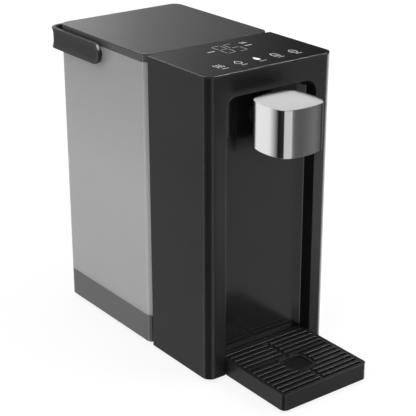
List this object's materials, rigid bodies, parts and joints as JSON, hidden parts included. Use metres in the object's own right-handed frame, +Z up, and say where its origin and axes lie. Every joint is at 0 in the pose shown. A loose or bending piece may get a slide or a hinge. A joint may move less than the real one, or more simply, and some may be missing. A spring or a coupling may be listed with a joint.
{
  "type": "instant hot water dispenser",
  "caption": "Desktop instant hot water dispenser: upright black casing with a metal spout over a drip tray, and a smoky lift-off tank with a carrying handle behind it.",
  "frame": {"origin": "on the table, under the middle of the whole machine's box", "axes": "+Y from the drip tray back to the tank, +Z up, +X to the right as seen from the front"},
  "size_m": [0.143, 0.308, 0.268],
  "materials": {
    "black_abs": "fine satin texture",
    "black_panel": "semi-gloss, moulded smooth",
    "inner_abs": "satin",
    "touch_glass": "gloss, dark printed from behind",
    "board_green": "satin solder resist",
    "pad_foam": "matte",
    "display_black": "gloss",
    "black_rubber": "matte",
    "screw_steel": "zinc plated",
    "spout_steel": "fine vertical brushing, clear lacquered",
    "nozzle_steel": "turned",
    "spout_plastic": "satin",
    "white_nylon": "satin",
    "red_silicone": "matte",
    "clear_silicone": "matte",
    "meter_blue": "satin",
    "black_nylon": "satin",
    "motor_steel": "satin",
    "rotor_copper": "lacquered windings",
    "heater_steel": "satin",
    "white_ceramic": "matte",
    "sensor_brass": "turned",
    "sink_aluminium": "extruded",
    "transformer_yellow": "taped",
    "capacitor_blue": "sleeved",
    "ribbon_grey": "satin",
    "lead_grey": "satin",
    "lead_red": "satin",
    "smoky_tank": "smoky translucent, frosted",
    "smoky_lid": "smoky translucent, polished",
    "handle_plastic": "satin",
    "spring_steel": "drawn wire",
    "white_mesh": "satin",
    "float_plastic": "satin",
    "tray_plastic": "satin"
  },
  "bodies": {
    "base": {"outer_housing": "black_abs", "front_panel": "black_panel", "top_frame": "inner_abs", "touch_panel": "touch_glass", "touch_board": "board_green", "touch_pads": "pad_foam", "display_module": "display_black", "base_pan": "black_abs", "rubber_feet": "black_rubber", "rear_cover": "black_abs", "dock_cover": "black_abs", "casing_screws": "screw_steel", "cord_gland": "black_rubber", "spout_cover": "spout_steel", "spout_underside": "spout_plastic", "outlet_nozzle": "nozzle_steel", "outlet_manifold": "white_nylon", "coupling_socket": "white_nylon", "coupling_seal": "red_silicone", "suction_hose": "clear_silicone", "flow_meter_body": "white_nylon", "flow_meter_cap": "white_nylon", "meter_hose": "clear_silicone", "pump_housing": "black_nylon", "pump_cover": "black_nylon", "motor_case": "motor_steel", "motor_bracket": "black_nylon", "feed_hose": "clear_silicone", "heater_tube": "heater_steel", "heater_core": "white_ceramic", "heater_bottom_cap": "black_nylon", "heater_top_cap": "black_nylon", "heater_clips": "motor_steel", "thermal_cutouts": "white_ceramic", "temperature_sensor": "sensor_brass", "outlet_hose": "clear_silicone", "power_board": "board_green", "heat_sink": "sink_aluminium", "board_transformer": "transformer_yellow", "board_capacitors": "capacitor_blue", "ribbon_cable": "ribbon_grey", "mains_leads": "lead_grey", "heater_leads": "lead_red", "level_sensor": "board_green"},
    "tank": {"water_tank": "smoky_tank", "valve_body": "white_nylon", "valve_spring": "spring_steel", "valve_strainer": "white_mesh", "float_guide": "white_nylon"},
    "lid": {"tank_lid": "smoky_lid", "lid_seal": "clear_silicone"},
    "handle": {"tank_handle": "handle_plastic"},
    "valve": {"valve_poppet": "red_silicone"},
    "float": {"level_float": "float_plastic"},
    "tray": {"drip_tray": "tray_plastic"},
    "grille": {"drip_grille": "tray_plastic"},
    "pump_rotor": {"pump_impeller": "white_nylon", "motor_rotor": "rotor_copper"},
    "meter_rotor": {"flow_meter_rotor": "meter_blue"}
  },
  "joints": [
    {"name": "tank_lift", "type": "slide", "parent": "base", "child": "tank", "axis": [0, 0, 1], "range_m": [0, 0.045]},
    {"name": "handle_swing", "type": "hinge", "parent": "tank", "child": "handle", "pos_m": [0, 0.0775, 0.255], "axis": [1, 0, 0], "range_deg": [0, 90]},
    {"name": "lid_lift", "type": "slide", "parent": "tank", "child": "lid", "axis": [0, 0, 1], "range_m": [0, 0.05]},
    {"name": "valve_travel", "type": "slide", "parent": "tank", "child": "valve", "axis": [0, 0, 1], "range_m": [0, 0.003], "stiffness_N_per_m": 250, "springref_m": -0.003, "deforming": ["valve_spring"]},
    {"name": "float_rise", "type": "slide", "parent": "tank", "child": "float", "axis": [0, 0, 1], "range_m": [0, 0.0095]},
    {"name": "tray_slide", "type": "slide", "parent": "base", "child": "tray", "axis": [0, -1, 0], "range_m": [0, 0.06]},
    {"name": "grille_lift", "type": "slide", "parent": "tray", "child": "grille", "axis": [0, 0, 1], "range_m": [0, 0.02]},
    {"name": "pump_spin", "type": "hinge", "parent": "base", "child": "pump_rotor", "pos_m": [0.001, -0.03075, 0.03], "axis": [1, 0, 0], "continuous": true},
    {"name": "meter_spin", "type": "hinge", "parent": "base", "child": "meter_rotor", "pos_m": [-0.038, -0.03075, 0.03], "axis": [0, 0, 1], "continuous": true}
  ]
}
